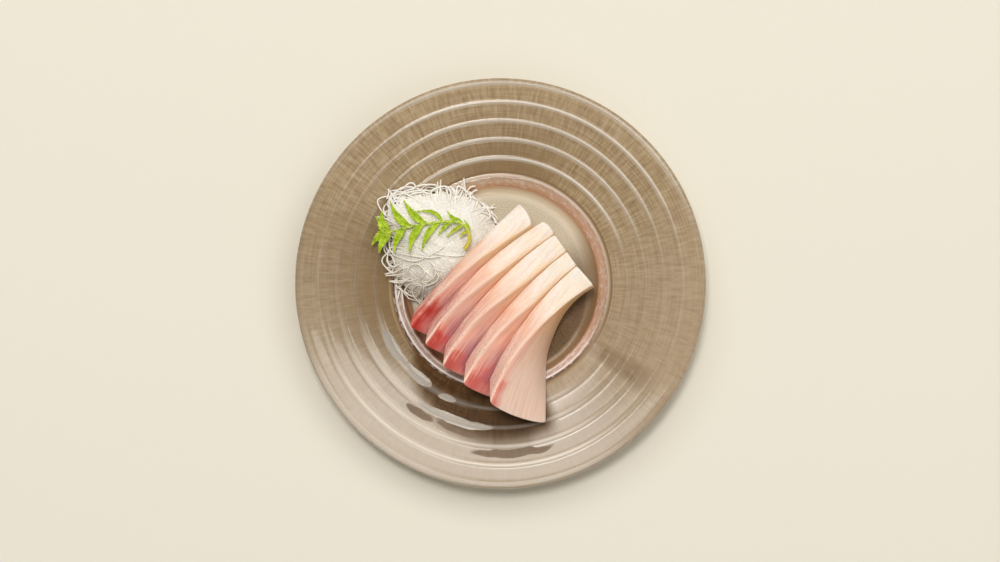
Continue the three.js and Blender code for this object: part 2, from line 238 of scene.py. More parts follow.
def ridge(radius):
    """Narrow crests with round flutes between them."""
    swing = abs(math.sin(math.pi * (radius - STEP_RADIUS) / RIDGE_PITCH))
    return RIDGE_HEIGHT * (1 - swing) ** RIDGE_SHARPNESS


def rest_height(x, y):
    """The height that food lies at: a little above the line that joins the crests."""
    radius = math.hypot(x, y)
    crest_line = rim_base(max(radius, STEP_RADIUS)) + RIDGE_HEIGHT
    climb = smooth(radius, WELL_RADIUS - REST_MARGIN, STEP_RADIUS)
    return mix(WELL_TOP, crest_line, climb) + REST_GAP


print("rim rises from", STEP_TOP, "to", round(rim_base(DISH_RADIUS), 1), "mm")

# %% The half section
TOP_STEP = 0.32
EDGE_STEPS = 8
UNDERSIDE_RADII = range(101, 57, -3)


def dish_section():
    """Points from the axis over the top, round the edge and back underneath, in millimetres."""
    points = [(0, WELL_TOP), (WELL_RADIUS * 0.5, WELL_TOP)]
    radius = WELL_RADIUS
    while radius < DISH_RADIUS - EDGE_ROUNDING:
        if radius < STEP_RADIUS:
            climb = smooth(radius, WELL_RADIUS, STEP_RADIUS)
            points.append((radius, mix(WELL_TOP, STEP_TOP + RIDGE_HEIGHT, climb)))
        else:
            points.append((radius, rim_base(radius) + ridge(radius)))
        radius += TOP_STEP
    middle = rim_base(DISH_RADIUS) - RIM_THICKNESS / 2
    for step in range(EDGE_STEPS + 1):
        turn = math.pi * (0.5 - step / EDGE_STEPS)
        across = DISH_RADIUS - EDGE_ROUNDING * (1 - math.cos(turn))
        points.append((across, middle + RIM_THICKNESS / 2 * math.sin(turn)))
    foot_root = FOOT_OUTER + 2 * FOOT_DRAFT
    for radius in (*UNDERSIDE_RADII, foot_root):
        points.append((radius, rim_base(radius) - RIM_THICKNESS))
    foot = [(FOOT_OUTER + 0.3, 0.4), (FOOT_OUTER - 0.2, 0), (FOOT_INNER + 0.2, 0),
            (FOOT_INNER - 0.2, 0.5)]
    floor_height = WELL_TOP - WELL_THICKNESS
    return points + foot + [(FOOT_INNER - FOOT_DRAFT, floor_height), (0, floor_height)]


print("half section:", len(dish_section()), "points")

# %% The section spun into a dish
SPIN_STEPS = 224
JOIN_DISTANCE = 0.01
SHARP_ANGLE = 50


def new_object(name, data):
    """Put a mesh or a curve in the scene as the one selected, active object."""
    piece = bpy.data.objects.new(name, data)
    bpy.context.scene.collection.objects.link(piece)
    select_only(piece)
    return piece


def face_outwards():
    """Turn all faces of the mesh in edit mode outwards and go back to object mode."""
    bpy.ops.mesh.select_all(action="SELECT")
    bpy.ops.mesh.normals_make_consistent(inside=False)
    bpy.ops.object.mode_set(mode="OBJECT")


def spun_dish(name):
    section = bpy.data.meshes.new(name)
    points = [Vector((radius, 0, height)) * MM for radius, height in dish_section()]
    section.from_pydata(points, [(i, i + 1) for i in range(len(points) - 1)], [])
    piece = new_object(name, section)
    bpy.ops.object.mode_set(mode="EDIT")
    bpy.ops.mesh.select_all(action="SELECT")
    bpy.ops.mesh.spin(steps=SPIN_STEPS, angle=2 * math.pi, center=(0, 0, 0), axis=(0, 0, 1))
    bpy.ops.mesh.select_all(action="SELECT")
    bpy.ops.mesh.remove_doubles(threshold=JOIN_DISTANCE * MM)
    face_outwards()
    bpy.ops.object.shade_smooth_by_angle(angle=math.radians(SHARP_ANGLE))
    return piece


dish = spun_dish("glass_dish")
print("glass dish:", len(dish.data.polygons), "faces")

# %% [markdown]
# ## Layers of paint
# Much of the look of glass and fish is thin layers of colour, one over another, as a painter lays
# them. One function works out how thickly a layer covers each place, and one lays it.

# %% Layers of paint
def cover(*limits):
    """How thickly a layer covers each place: the product of its limits.

    A limit is a number, an output, or (value, low, high, full, least), which climbs softly from
    least, where the value is low, to full, where it is high. Full is 1 and least 0 if left out.
    """
    total = None
    for limit in limits:
        if isinstance(limit, tuple):
            value, low, high, full, least = (*limit, *(1, 0)[len(limit) - 3:])
            limit = add_node("MapRange", value, low, high, least, full,
                             interpolation_type="SMOOTHSTEP")
        total = limit if total is None else add_node("Math", total, limit, operation="MULTIPLY")
    return total


def either(*limits):
    """The strongest of some limits at each place."""
    total = cover(limits[0])
    for limit in limits[1:]:
        total = add_node("Math", total, cover(limit), operation="MAXIMUM")
    return total


def paint(colour, *layers):
    """Lay layers over a colour. Each is a hex value or an output, and then its limits."""
    for over, *limits in layers:
        over = linear(over) if isinstance(over, str) else over
        colour = add_node("Mix", cover(*limits), colour, over, data_type="RGBA")
    return colour


print("three helpers for layers")

# %% [markdown]
# ## Smoky pressed glass
# The glass is clear with a brown tint and a faint haze, so part of it lets the table through and
# part of it scatters light like a milky solid. The mould left fine lines that run out like spokes,
# crossed by finer rings, and the well is frosted. All of these are patterns in polar coordinates:
# the direction from the axis, times a size, runs round a circle without a seam, and the radius
# tells how far out a point is. The crests are narrow and catch the light, so a painted highlight
# makes them paler. Much other light and shade on the glass is painted as well: sheen, lighter and
# darker sides of the rim, reflections of the fish and shade under the food.

# %% Patterns of the glass
SPOKE_SPACING_MM = 1.3
RING_SPACING_MM = 0.8
GRAIN_MM = 0.6
NOISE_CIRCLE_MM = 80

glass, tree = new_material("smoky pressed glass")
place = add_node("TexCoord", out="Object")
flat = add_node("VectorMath", place, (1, 1, 0), operation="MULTIPLY")
heading = add_node("VectorMath", flat, operation="NORMALIZE")
radius_mm = add_node("VectorMath", flat, operation="LENGTH")
radius_mm = add_node("Math", radius_mm, MM, operation="DIVIDE")


def facing(x, y):
    """The cosine of the angle between a point's heading and a direction on the dish."""
    return add_node("VectorMath", heading, (x, y, 0), operation="DOT_PRODUCT")


def polar_noise(turn_mm, out_mm):
    """Noise whose grain is turn_mm long round the noise circle and out_mm long outwards."""
    around = add_node("VectorMath", heading, NOISE_CIRCLE_MM / turn_mm, operation="SCALE")
    lift = add_node("CombineXYZ", 0, 0, add_node("Math", radius_mm, out_mm, operation="DIVIDE"))
    return add_node("TexNoise", add_node("VectorMath", around, lift, operation="ADD"), 1, 2)


spokes = polar_noise(SPOKE_SPACING_MM, 7)
rings = polar_noise(26, RING_SPACING_MM)
woven = add_node("Mix", 0.42, spokes, rings)
grain = add_node("TexNoise", place, 1 / (GRAIN_MM * MM), 3)
print("spokes every", SPOKE_SPACING_MM, "mm, rings every", RING_SPACING_MM, "mm")

# %% Zones of the rim
CREST_HALF_WIDTH_MM = 1.6
WIDE_CREST_HALF_WIDTH_MM = 2.6

from_crest = add_node("Math", radius_mm, STEP_RADIUS, operation="SUBTRACT")
from_crest = add_node("Math", from_crest, RIDGE_PITCH / 2, operation="PINGPONG")
on_rim = cover((radius_mm, STEP_RADIUS + 2, STEP_RADIUS + 3))
# Painted highlight on the crests, strongest at the top and the bottom of the dish; on the lower
# left, wider crests carry painted sheen.
crest_highlight_strength = either((facing(0.3, 0.954), 0.5, 0.9, 0.8, 0.1),
                        (facing(-0.3, -0.954), 0.4, 0.85, 1, 0.1))
wide_crest_sheen = cover((from_crest, WIDE_CREST_HALF_WIDTH_MM, 0.8), on_rim,
                   (facing(-0.64, -0.768), 0.8, 0.96, 0.75))
crest = cover((from_crest, CREST_HALF_WIDTH_MM, 0.2), on_rim, crest_highlight_strength)
crest = either(crest, wide_crest_sheen)
# The lower part, where the soft box mirrors in the rim, gets a paler, greyer painted sheen.
sheen_side = cover((facing(-0.15, -0.989), 0.3, 0.85, 0.65), (radius_mm, 58, 74))
inner_shade = cover((radius_mm, 96, 56),
                    either((facing(0, 1), 0.8, 1, 0.8), (facing(-1, 0), 0.8, 1, 0.8)))
# Painted light and shade over the woven tone: lighter to the lower right, painted shade inside at
# the top and on the left, painted sheen in the lower part, lighter outwards to the lower left, and
# the crests' painted highlight.
rim_colour = paint(
    add_node("ValToRGB", woven, stops={0.32: "#a88c66", 0.5: "#c8ad84", 0.68: "#e0caa6"}),
    ("#d6bfa4", (facing(0.8, -0.6), 0.3, 0.9, 0.4)),
    ("#a3845a", inner_shade),
    ("#c0b09c", sheen_side),
    ("#94764e", (facing(-1, -0.1), 0.75, 1, 0.3)),
    ("#f0e0c8", (radius_mm, 56, 100), (facing(-0.5, -0.866), 0, 0.9, 0.3, 0.08)),
    ("#fff4e4", crest))
print("glass crests", 2 * CREST_HALF_WIDTH_MM, "mm wide")

# %% The well and the band over the foot ring
BAND_MM = (44, 58)
PALE_RING_MM = 45.5
REFLECTION_SIDE = (0.5, 0.866)
SHADED_SIDE = (0.87, -0.5)

in_well = cover((radius_mm, WELL_RADIUS + 1.2, WELL_RADIUS - 1.2))
from_ring = add_node("Math", radius_mm, PALE_RING_MM, operation="SUBTRACT")
from_ring = add_node("Math", from_ring, operation="ABSOLUTE")
speckled_shade = add_node("ValToRGB", add_node("Mix", 0.4, grain, woven),
                          stops={0.4: "#4e3014", 0.6: "#8e6a3e"})
well_colour = paint(
    add_node("ValToRGB", grain, stops={0.35: "#c6b08a", 0.6: "#f0e0c2"}),
    ("#f6e6cc", (from_ring, 3.2, 1), 0.7),
    (speckled_shade, (facing(*SHADED_SIDE), 0.4, 0.95, 0.9)))

# Ramps across the band, from its inner to its outer side: a painted pink reflection of the fish
# on the far side, and painted white highlights with a painted shadow line just outside them on the
# near side. Over them: a pinker painted reflection on the right, painted shade on the shaded side
# and small painted glints.
over_band = add_node("MapRange", radius_mm, *BAND_MM)
fish_reflection_band = add_node("ValToRGB", over_band, stops={
    0.0: "#f2e2c6", 0.3: "#f0dcbc", 0.39: "#dcbc98", 0.46: "#c89268", 0.6: "#eabd98",
    0.68: "#e2c0a0", 0.76: "#c8a684", 0.83: "#f2dcc2", 0.9: "#c0a07a", 0.98: "#8a6840",
    1.0: "#8e6e46"})
band_with_highlights = add_node("ValToRGB", over_band, stops={
    0.0: "#b99a76", 0.3: "#a5785e", 0.41: "#7a5038", 0.49: "#a07c68", 0.53: "#fff2e8",
    0.57: "#c2a898", 0.66: "#bc9f90", 0.7: "#fffaf6", 0.73: "#fff4ec", 0.77: "#4a2e1a",
    0.83: "#86664a", 0.93: "#aa8e68", 1.0: "#a4885e"})
# Where the band shows the painted reflection of the fish: its far side.
reflection_side = cover((facing(*REFLECTION_SIDE), -0.35, 0.45))
band_colour = paint(
    band_with_highlights, (fish_reflection_band, reflection_side),
    ("#e8b498", (facing(1, 0.1), 0.2, 0.8, 0.45), (over_band, 0.85, 0.7), (over_band, 0.4, 0.48)),
    ("#8e6e48", (facing(*SHADED_SIDE), 0.3, 0.85, 0.85), (over_band, 0.5, 0.42)),
    ("#f6e8dc", (polar_noise(4, 1.1), 0.5, 0.64, 0.5), (over_band, 0.44, 0.5),
     (over_band, 0.86, 0.8)))
band_start = add_node("Mix", reflection_side, 0.24, 0.0)
band_full = add_node("Mix", reflection_side, 0.32, 0.08)
in_band = cover((over_band, 1, 0.95), (over_band, band_start, band_full))
print("clear band from", BAND_MM[0], "to", BAND_MM[1], "mm")

# %% Painted reflections on stretches of the rings
# Each row: radius and half width in millimetres, heading and half length in degrees.
PALE_REFLECTIONS = ((64.4, 3.2, -150, 8.5), (63.3, 1.4, -141, 13), (63.7, 2.9, -131, 7.5),
                  (65.3, 1.9, -115, 4.4), (74.2, 2.5, -109, 17))
DARK_REFLECTIONS = ((78.3, 2.2, -122, 6.5), (78.4, 2.1, -104, 12), (87.2, 2.4, -86, 15))
STREAK_SIDE = (0.829, -0.559)
SHADE_SHIFT_MM = 62
UNEVEN_MM = 3

uneven = add_node("Math", polar_noise(9, 40), UNEVEN_MM, -UNEVEN_MM / 2, operation="MULTIPLY_ADD")


def stretches(rows):
    """One on the given stretches of the rings, which taper at both ends, and nothing elsewhere."""
    spots = []
    for middle, half_width, degrees, half_length in rows:
        turned = math.radians(degrees)
        bow = 1 - math.cos(math.radians(half_length))
        away = add_node("Math", uneven, middle, operation="ADD")
        away = add_node("Math", radius_mm, away, operation="SUBTRACT")
        away = add_node("Math", away, half_width, operation="DIVIDE")
        away = add_node("Math", away, 2, operation="POWER")
        off = add_node("Math", 1, facing(math.cos(turned), math.sin(turned)), operation="SUBTRACT")
        off = add_node("Math", off, bow, operation="DIVIDE")
        spots.append((add_node("Math", away, off, operation="ADD"), 1, 0.7))
    return either(*spots)


# Pale stretches are painted reflections of the light on the lower rings; dark ones are painted dark
# reflections that join the painted shade under the food.
pale = stretches(PALE_REFLECTIONS)
not_pale = add_node("Math", 1, pale, operation="SUBTRACT")
faint_crest = add_node("Math", crest, -0.25, 1, operation="MULTIPLY_ADD")
farther = add_node("Math", facing(0, -1), -SHADE_SHIFT_MM, SHADE_SHIFT_MM,
                   operation="MULTIPLY_ADD")
farther = add_node("Math", farther, uneven, operation="ADD")
farther = add_node("Math", radius_mm, farther, operation="ADD")
food_shade = cover((farther, 88, 75), (facing(1, 0), 0.42, 0.3), (radius_mm, 54, 56.5))
shaded_glass = cover(either(food_shade, cover(stretches(DARK_REFLECTIONS), 0.62)),
                     not_pale, faint_crest)
woven_shade = add_node("ValToRGB", woven, stops={0.36: "#3c220c", 0.64: "#684624"})
# A painted dark streak of woven tone that runs outwards on the lower right, along the edge of the
# sheen.
painted_dark_streak = cover((facing(*STREAK_SIDE), 0.9955, 0.9998, 0.6), (woven, 0.38, 0.62, 1, 0.3),
                     (radius_mm, 54, 60), (radius_mm, 98, 82))
print(len(PALE_REFLECTIONS), "pale and", len(DARK_REFLECTIONS), "dark stretches")

# %% Glass material
# Over the rim and the well lie the band, painted shade under the food, the painted dark streak and
# the painted pale reflections.
glass_colour = paint(
    rim_colour,
    (well_colour, in_well),
    (band_colour, in_band),
    (woven_shade, shaded_glass, 0.88),
    ("#86683e", painted_dark_streak),
    ("#d2cabe", pale, 0.8))
relief = add_node("Mix", in_well, woven, add_node("Mix", 0.3, grain, rings))
bump = add_node("Bump", inputs={"Strength": 0.3, "Distance": 0.06 * MM, "Height": relief})

bright_bend = cover((facing(0.57, -0.82), 0.9, 0.98), (radius_mm, 68, 60))
frost = add_node("Mix", cover((facing(0.1, -0.995), 0.6, 0.85)), 0.11, 0.24)
frost = add_node("Mix", in_well, frost, 0.3)
frost = add_node("Mix", either(shaded_glass, bright_bend), frost, 0.6)

shaded_well = cover(in_well, (facing(*SHADED_SIDE), 0.3, 0.9, 0.8))
# The specular tint browns the reflections where shade is painted: under the food, on the shaded
# side of the well and along the painted dark streak.
shaded_reflections = either(cover(shaded_glass, 1.4), shaded_well, painted_dark_streak)
not_reflection_side = add_node("Math", 1, reflection_side, operation="SUBTRACT")
not_shaded = add_node("Math", 1, shaded_glass, operation="SUBTRACT")
milky_crest = cover(crest, sheen_side, not_shaded, (radius_mm, 103, 92))
milky = either(cover(in_band, not_reflection_side), milky_crest)
finish_material(glass, [dish], {
    "Base Color": glass_colour, "Roughness": frost, "IOR": 1.7, "Normal": bump,
    "Specular Tint": paint((1, 1, 1, 1), ("#70452a", shaded_reflections)),
    "Transmission Weight": add_node("Mix", milky, 0.45, 0.15)})
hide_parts("dish")
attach(dish, "root")
print("glass material:", len(tree.nodes), "nodes")

# %% [markdown]
# ## Five slices of raw fish
# The slices lean on one another like fallen books, and each is a slab between two layers of the
# same stack. So one function bends the whole stack: it takes a layer, a share of the length and a
# distance up the leaning face, and gives a place in space. Pieces made this way can touch without
# ever running into each other. The lengths run along one direction, the layers across it.

# %% Named sizes of the slices, in millimetres
SLICE_COUNT = 5
STACK_TURN = math.radians(44)
STACK_TOE = -49.8
STACK_LENGTH = 85.8
LAYERS_AT_TOE = (-20.5, -9, 4.5, 18.5, 35.5, 61.5)
LAYERS_IN_MIDDLE = (-23, -13.3, -2, 10.6, 21.9, 34.2)
LAYERS_AT_HEAD = (-22.8, -8.3, 0.8, 11.6, 20.4, 34.4)
SLICE_TOE_ENDS = (0.01, 0, -0.012, 0.002, 0.04)
SLICE_HEAD_ENDS = (
    (0.99, 0.953), (1.018, 1.012), (1.013, 0.995), (0.995, 0.978), (0.978, 0.968))
STEP_KEPT_AT_HEAD = (1, 0.22, 0.22, 0.22, 0.5)
HEAD_BULGE = (0.014, 0.01, 0.001, 0, 0.002)
SLICE_WIDTH_AT_TOE = 31
SLICE_WIDTH_AT_HEAD = 25
LEAN_OF_TOP_EDGE = (37, 72)
LEAN_OF_LOWER_EDGE = (16, 86)
LEAN_CHANGE_OF_LAST = (-12, 9)
TOE_CORNER_CUT = 0.155
TOE_SKIN_CUT = 0.1
PIECE_GAP = 0.03
EDGE_WAVE = 0.25
SLICE_CUTS = (69, 9, 23)
SLICE_ROUNDING = (1.5, 1.1)
SLICE_SIZE = Vector((86, 11, 28))
SLICE_SHARP_ANGLE = 60
FOOT_SPREAD = 0.3
CORNER_CURVE = 1.4

# %% The bent stack
def layer_offset(layer, along):
    """How far across the stack a layer's upper edge lies, by a curve through three given places."""
    low = min(max(math.floor(layer), 0), SLICE_COUNT - 1)
    toe, middle, head = (mix(row[low], row[low + 1], layer - low)
                         for row in (LAYERS_AT_TOE, LAYERS_IN_MIDDLE, LAYERS_AT_HEAD))
    return (toe * (1 - along) * (1 - 2 * along) + middle * 4 * along * (1 - along)
            + head * along * (2 * along - 1))


def slice_width(along):
    return mix(SLICE_WIDTH_AT_TOE, SLICE_WIDTH_AT_HEAD, smooth(along, 0, 0.5))


def leans(layer, along):
    """Lean from the horizontal at the lower edge and at the upper edge, in radians."""
    change = mix(*LEAN_CHANGE_OF_LAST, smooth(along, -0.15, 0.95)) * (layer / SLICE_COUNT) ** 3
    lower = mix(*LEAN_OF_LOWER_EDGE, smooth(along, 0.02, 0.52)) + change
    upper = mix(*LEAN_OF_TOP_EDGE, smooth(along, 0.15, 0.95)) + change
    return math.radians(lower), math.radians(upper)


def bent_reach(layer, along, distance):
    """Reach and rise of a bent face, from its lower edge up to a distance over the face."""
    lower, upper = leans(layer, along)
    width = slice_width(along)
    bend = (upper - lower) / width or 1e-6
    bent = min(max(distance, 0), width)
    turned = lower + bend * bent
    reach = (math.sin(turned) - math.sin(lower)) / bend + (distance - bent) * math.cos(turned)
    rise = (math.cos(lower) - math.cos(turned)) / bend + (distance - bent) * math.sin(turned)
    return reach, rise


def stack_place(forward, across):
    """Turn a place along and across the stack into x and y."""
    return (forward * math.cos(STACK_TURN) + across * math.sin(STACK_TURN),
            forward * math.sin(STACK_TURN) - across * math.cos(STACK_TURN))


def stack_point(layer, along, distance):
    """The place in space of a point of the stack."""
    full_reach, _ = bent_reach(layer, along, slice_width(along))
    reach, rise = bent_reach(layer, along, distance)
    forward = STACK_TOE + STACK_LENGTH * along
    foot = layer_offset(layer, along) + full_reach
    height = rest_height(*stack_place(forward, foot)) + rise
    return Vector((*stack_place(forward, foot - reach), height))


def slice_point(number, length, thickness, height):
    """A point of one slice by its three shares, from toe to head, back to front, foot to top."""
    toe = (SLICE_TOE_ENDS[number] + TOE_SKIN_CUT * (1 - thickness)
           + TOE_CORNER_CUT * (1 - height) ** CORNER_CURVE)
    bulge = HEAD_BULGE[number] * math.sin(math.pi * thickness) * height
    along = mix(toe, mix(*SLICE_HEAD_ENDS[number], thickness) + bulge, length)
    pitch = layer_offset(number + 1, along) - layer_offset(number, along)
    lower, upper = leans(number, along)
    gap = PIECE_GAP / (pitch * math.sin(upper))
    wave = EDGE_WAVE * math.sin(along * 13 + number * 2.1) * math.sin(along * 23 + number)
    step = mix(1, STEP_KEPT_AT_HEAD[number], smooth(along, 0.45, 0.95))
    top = slice_width(along) + step * thickness * pitch * math.cos(upper) + wave
    bottom = FOOT_SPREAD * thickness * pitch * math.cos(lower)
    return stack_point(number + thickness * (1 - gap), along, mix(bottom, top, height))


print("first slice, middle of its top edge:",
      [round(value, 1) for value in slice_point(0, 0.5, 0.5, 1)])

# %% [markdown]
# A slice starts as a cube of one metre whose edges are cut into many short ones, direction by
# direction. While it is still a cube, its three shares are written into two texture maps, so the
# material knows later where skin, cut face, toe and head are. The edges are rounded while it is a
# block too, as they are on soft wet flesh, and then every vertex moves to its place in the stack.

# %% A cube with its shares
import bmesh


def cut_cube(name, cuts):
    """A unit cube whose edges along x, y and z are cut into more edges."""
    select_only()
    bpy.ops.mesh.primitive_cube_add(size=1, location=(0, 0, 0))
    piece = bpy.context.object
    piece.name = name
    bpy.ops.object.mode_set(mode="EDIT")
    bpy.ops.mesh.select_mode(type="EDGE")
    for axis, count in enumerate(cuts):
        sketch = bmesh.from_edit_mesh(piece.data)
        for edge in sketch.edges:
            run = edge.verts[0].co - edge.verts[1].co
            edge.select_set(abs(run[axis]) > 0.5 * run.length)
        bmesh.update_edit_mesh(piece.data)
        bpy.ops.mesh.subdivide(number_cuts=count)
    bpy.ops.object.mode_set(mode="OBJECT")
    return piece


def clear_maps(piece):
    """Take off the texture maps that a primitive comes with."""
    for layer in list(piece.data.uv_layers):
        piece.data.uv_layers.remove(layer)


def keep_shares(piece, name, pick):
    """Write two numbers per corner, picked from its place in the unit cube, as a texture map."""
    layer = piece.data.uv_layers.new(name=name)
    for loop in piece.data.loops:
        layer.data[loop.index].uv = pick(piece.data.vertices[loop.vertex_index].co)


def apply_modifier(piece, kind, **settings):
    modifier = piece.modifiers.new(kind.lower(), kind)
    for name, value in settings.items():
        setattr(modifier, name, value)
    bpy.ops.object.modifier_apply(modifier=modifier.name)


print("a block is cut", SLICE_CUTS, "times along, through and up")

# %% The block bent into a slice
def rounded_shares(shares):
    """Pull a share of the block in where its edges are rounded, less so towards the head."""
    rounding = mix(*SLICE_ROUNDING, smooth(shares[0], 0.4, 0.9))
    margin = Vector((rounding,) * 3)
    spot = Vector(share * size for share, size in zip(shares, SLICE_SIZE))
    inner = Vector(min(max(value, low), size - low)
                   for value, low, size in zip(spot, margin, SLICE_SIZE))
    away = spot - inner
    if away.length > rounding:
        spot = inner + away.normalized() * rounding
    return tuple(value / size for value, size in zip(spot, SLICE_SIZE))


def crowd_to_edges(value, amount):
    """Move places between -0.5 and 0.5 towards both ends, where the rounding needs more faces."""
    return mix(value, 0.5 * math.sin(math.pi * value), amount)


def fish_slice(number):
    piece = cut_cube("raw_fish_slice_" + str(number + 1), SLICE_CUTS)
    clear_maps(piece)
    turn = number / (SLICE_COUNT - 1)
    for vertex in piece.data.vertices:
        x, y, z = vertex.co
        vertex.co = (crowd_to_edges(x, 0.5), crowd_to_edges(y, 1), crowd_to_edges(z, 1))
    keep_shares(piece, "face", lambda co: (co.x + 0.5, co.z + 0.5))
    keep_shares(piece, "depth", lambda co: (0.5 - co.y, turn))
    for vertex in piece.data.vertices:
        shares = (vertex.co.x + 0.5, 0.5 - vertex.co.y, vertex.co.z + 0.5)
        vertex.co = slice_point(number, *rounded_shares(shares)) * MM
    bpy.ops.object.mode_set(mode="EDIT")
    face_outwards()
    bpy.ops.object.shade_smooth_by_angle(angle=math.radians(SLICE_SHARP_ANGLE))
    return piece


fish = [fish_slice(number) for number in range(SLICE_COUNT)]
print("fish slices:", sum(len(piece.data.polygons) for piece in fish), "faces")

# %% [markdown]
# ## Raw fish flesh
# The slice was cut from a side of yellowtail. Its dark red blood line runs through the toe, the
# belly end is pale and fatty, and the skin side is silvery pink with specks. The colour follows
# two ramps from toe to head: one for the top strip, one for the cut face, mixed by where a point
# lies. Noise bends the ramps so that no border is straight. Fine lines along the face are the
# muscle fibres. A little light goes into the flesh and comes out redder.

# %% Coordinates and noise of the flesh
# Counts along, up and through a slice. Each slice also starts far off in the noise, so that no
# two look alike. The fibres are drawn coarser than the real ones, so that they show.
FIBRES_PER_FACE = 46
FIBRE_BREAKS = 4
FIBRE_LAYERS = 9
STREAK_BREAKS = 6
STREAK_SLANT = 9
STREAK_LAYERS = 7
SLICES_APART = 40
CLOUD_MM = 9
SPECK_MM = 1.1
DRIFT = 0.3
JAGGEDNESS = 0.22

flesh, tree = new_material("raw yellowtail flesh")
face = add_node("UVMap", uv_map="face")
depth = add_node("UVMap", uv_map="depth")
length, height = (add_node("SeparateXYZ", face, out=axis) for axis in "XY")
front, last = (add_node("SeparateXYZ", depth, out=axis) for axis in "XY")
place = add_node("TexCoord", out="Object")
clouds = add_node("TexNoise", place, 1 / (CLOUD_MM * MM), 3)
specks = add_node("TexNoise", place, 1 / (SPECK_MM * MM), 1)
drift = add_node("Math", clouds, DRIFT, -DRIFT / 2, operation="MULTIPLY_ADD")

inwards = add_node("Math", front, FIBRE_LAYERS, operation="MULTIPLY")
inwards = add_node("Math", last, SLICES_APART, inwards, operation="MULTIPLY_ADD")
fibre_place = add_node("VectorMath", add_node("CombineXYZ", length, height, inwards),
                       (FIBRE_BREAKS, FIBRES_PER_FACE, 1), operation="MULTIPLY")
fibres = add_node("TexNoise", fibre_place, 1, 3, inputs={"Distortion": 0.4})
slanted = add_node("Math", length, STREAK_SLANT, operation="MULTIPLY")
slanted = add_node("Math", front, STREAK_LAYERS, slanted, operation="MULTIPLY_ADD")
streak_place = add_node("VectorMath", add_node("CombineXYZ", length, slanted, last),
                        (STREAK_BREAKS, 1, SLICES_APART), operation="MULTIPLY")
streaks = add_node("TexNoise", streak_place, 1, 4, inputs={"Distortion": 0.5})

along = add_node("Math", fibres, JAGGEDNESS, -JAGGEDNESS / 2, operation="MULTIPLY_ADD")
along = add_node("Math", drift, along, operation="ADD")
along = add_node("Math", length, along, operation="ADD")
is_first = cover((last, 0.12, 0.06))
from_toe = add_node("Math", is_first, -0.1, along, operation="MULTIPLY_ADD")
toe_end = cover((along, 0.62, 0.5))
toe_part = cover((along, 0.5, 0.25))
head_part = cover((along, 0.5, 0.75))
print("fibres", round(SLICE_WIDTH_AT_TOE / FIBRES_PER_FACE, 1), "mm apart, specks", SPECK_MM, "mm")

# %% The cut face
near_edge = paint(
    add_node("ValToRGB", from_toe, stops={
        0.0: "#b6140e", 0.07: "#c0241a", 0.11: "#d65a4a", 0.16: "#eea290", 0.28: "#f2b8a4",
        0.42: "#eeb29a", 0.56: "#f0ba96", 0.7: "#fbc696", 0.85: "#ffc88e", 1.0: "#ffcc94"}),
    # Painted light: a brighter golden on the first slice's face towards the head, which lies in
    # shade.
    ("#ffcc90", is_first, (along, 0.5, 0.8), 0.8),
    ("#e08a7c", last, 0.6, (along, 0.25, 0.1)))
# Lower down the face, towards the crease: the flesh's own mauve near the toe together with painted
# crease shade, mauve at the toe and orange further on.
lower_face_with_crease_shade = add_node("ValToRGB", from_toe, stops={
    0.0: "#dc8c80", 0.06: "#c4686a", 0.13: "#a86070", 0.24: "#b0747e", 0.36: "#d89888",
    0.5: "#e49c7a", 0.62: "#eeae80", 0.78: "#fcc084", 1.0: "#ffc68c"})
open_face = add_node("ValToRGB", along, stops={
    0.0: "#eed0be", 0.25: "#f0cfba", 0.45: "#eec2a4", 0.65: "#f8c698", 0.8: "#ffc684",
    0.9: "#ffd49e", 1.0: "#ffdab4"})
level = add_node("Math", height, drift, operation="SUBTRACT")
calm_level = add_node("Math", drift, -0.35, height, operation="MULTIPLY_ADD")
cut_face = paint(
    near_edge,
    (lower_face_with_crease_shade, (level, 0.92, 0.66)),
    (open_face, (last, 0.88, 0.95), (calm_level, 0.96, 0.8)),
    # The pale upper edge, then pale fibres and dark ones.
    ("#f3cdb8", (height, 0.93, 0.985), toe_end, (from_toe, 0.05, 0.24, 1, 0.2), 0.8),
    ("#f6dfcc", (fibres, 0.4, 0.65, 0.24), (along, 0.06, 0.3, 1, 0.25)),
    ("#c08a7c", (fibres, 0.5, 0.36, 0.2)))
print("cut face painted")

# %% The top strip, which is the skin side
strip = paint(
    add_node("ValToRGB", along, stops={
        0.0: "#d08a80", 0.1: "#dc9c90", 0.2: "#e6ad9c", 0.32: "#ecbaa4", 0.45: "#eec0a6",
        0.58: "#f0d0ba", 0.72: "#f1e2d4", 1.0: "#efe6da"}),
    # Mauve streaks, painted shade in the creases between two slices, and the lighter last slices.
    ("#a45c66", (streaks, 0.5, 0.62), toe_part, 0.6),
    ("#9a525e", (front, 0.4, 0.02), toe_part, 0.6),
    ("#dc9c80", (front, 0.35, 0.02), (along, 0.8, 0.6, 0.5)),
    ("#f8d4c0", (last, 0.2, 1, 0.9, 0.1), toe_part),
    # The head: milky specks, warm clouds, streaks and golden painted shade at the front edge, over
    # the crease.
    ("#faf6ec", (specks, 0.42, 0.6), head_part, 0.35),
    ("#f4dcb6", (clouds, 0.5, 0.62), head_part, 0.35),
    ("#ead2c6", (streaks, 0.5, 0.62), head_part, 0.6),
    ("#eaba84", (front, 0.62, 1), head_part, (last, 0.95, 0.85, 0.6), (along, 1.02, 0.84, 1, 0.3)),
    # Pale streaks, the pale line over the cut, the red toe of the first slice and skin specks.
    ("#f8e2d0", (streaks, 0.5, 0.36), 0.55),
    ("#f4d0bc", (front, 0.6, 0.92), toe_end, 0.85),
    ("#cf5648", (front, 0.3, 0.7), (along, 0.24, 0.12), is_first, 0.9),
    ("#8c6a70", (specks, 0.6, 0.7), (along, 0.45, 0.3), 0.45))
print("top strip painted")

